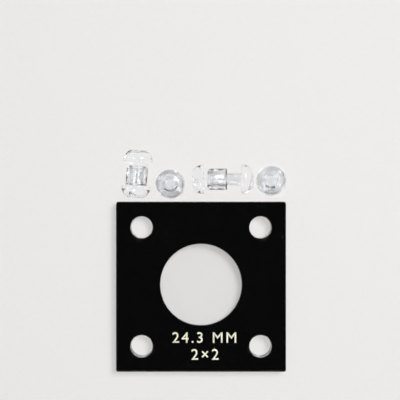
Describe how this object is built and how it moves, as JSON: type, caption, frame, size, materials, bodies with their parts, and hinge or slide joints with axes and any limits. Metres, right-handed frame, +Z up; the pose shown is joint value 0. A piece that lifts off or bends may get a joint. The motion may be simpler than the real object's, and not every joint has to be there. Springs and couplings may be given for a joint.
{
  "type": "coin holder",
  "caption": "Square display holder for a coin: a black frame with a round coin opening between clear covers, with loose screw and post fasteners for its corner holes.",
  "frame": {"origin": "middle of the back cover's underside, where the holder rests", "axes": "+Z up out of the front cover, +X and +Y along the plates' sides, with the loose fasteners beyond the +Y side"},
  "size_m": [0.0508, 0.0664, 0.0141],
  "materials": {
    "black_acrylic": "polished opaque black acrylic sheet",
    "clear_cover": "polished clear acrylic sheet",
    "clear_fastener": "clear moulded plastic"
  },
  "bodies": {
    "back_cover": {"back_cover": "clear_cover"},
    "coin_frame": {"coin_frame": "black_acrylic"},
    "front_cover": {"front_cover": "clear_cover"},
    "screw_1": {"screw_1": "clear_fastener"},
    "post_1": {"post_1": "clear_fastener"},
    "screw_2": {"screw_2": "clear_fastener"},
    "post_2": {"post_2": "clear_fastener"},
    "screw_3": {"screw_3": "clear_fastener"},
    "post_3": {"post_3": "clear_fastener"},
    "screw_4": {"screw_4": "clear_fastener"},
    "post_4": {"post_4": "clear_fastener"}
  },
  "joints": [
    {"name": "coin_frame_lift", "type": "slide", "parent": "back_cover", "child": "coin_frame", "axis": [0, 0, 1], "range_m": [0, 0.05]},
    {"name": "front_cover_lift", "type": "slide", "parent": "coin_frame", "child": "front_cover", "axis": [0, 0, 1], "range_m": [0, 0.05]},
    {"name": "screw_1_turn", "type": "hinge", "parent": "back_cover", "child": "screw_1", "pos_m": [-0.0195, 0.0301, 0.00435], "axis": [-0.0698, -0.9976, 0], "range_deg": [-151, 3181]},
    {"name": "post_1_travel", "type": "slide", "parent": "back_cover", "child": "post_1", "axis": [0.0698, 0.9976, 0], "range_m": [-0.00025, 0.0053]},
    {"name": "screw_2_turn", "type": "hinge", "parent": "back_cover", "child": "screw_2", "pos_m": [-0.00915, 0.03065, 0.0035], "axis": [0, 0, -1], "range_deg": [0, 3331]},
    {"name": "post_2_travel", "type": "slide", "parent": "back_cover", "child": "post_2", "axis": [0, 0, 1], "range_m": [0, 0.00555]},
    {"name": "screw_3_turn", "type": "hinge", "parent": "back_cover", "child": "screw_3", "pos_m": [0.0122, 0.03215, 0.00435], "axis": [1, 0, 0], "range_deg": [-2611, 721]},
    {"name": "post_3_travel", "type": "slide", "parent": "back_cover", "child": "post_3", "axis": [-1, 0, 0], "range_m": [-0.00435, 0.0012]},
    {"name": "screw_4_turn", "type": "hinge", "parent": "back_cover", "child": "screw_4", "pos_m": [0.02095, 0.03165, 0.0035], "axis": [0, 0, -1], "range_deg": [0, 3331]},
    {"name": "post_4_travel", "type": "slide", "parent": "back_cover", "child": "post_4", "axis": [0, 0, 1], "range_m": [0, 0.00555]}
  ],
  "couplings": [
    {"joint": "screw_1_turn", "follows": "post_1_travel", "rad_per_m": 10472},
    {"joint": "screw_2_turn", "follows": "post_2_travel", "rad_per_m": 10472},
    {"joint": "screw_3_turn", "follows": "post_3_travel", "rad_per_m": 10472},
    {"joint": "screw_4_turn", "follows": "post_4_travel", "rad_per_m": 10472}
  ]
}
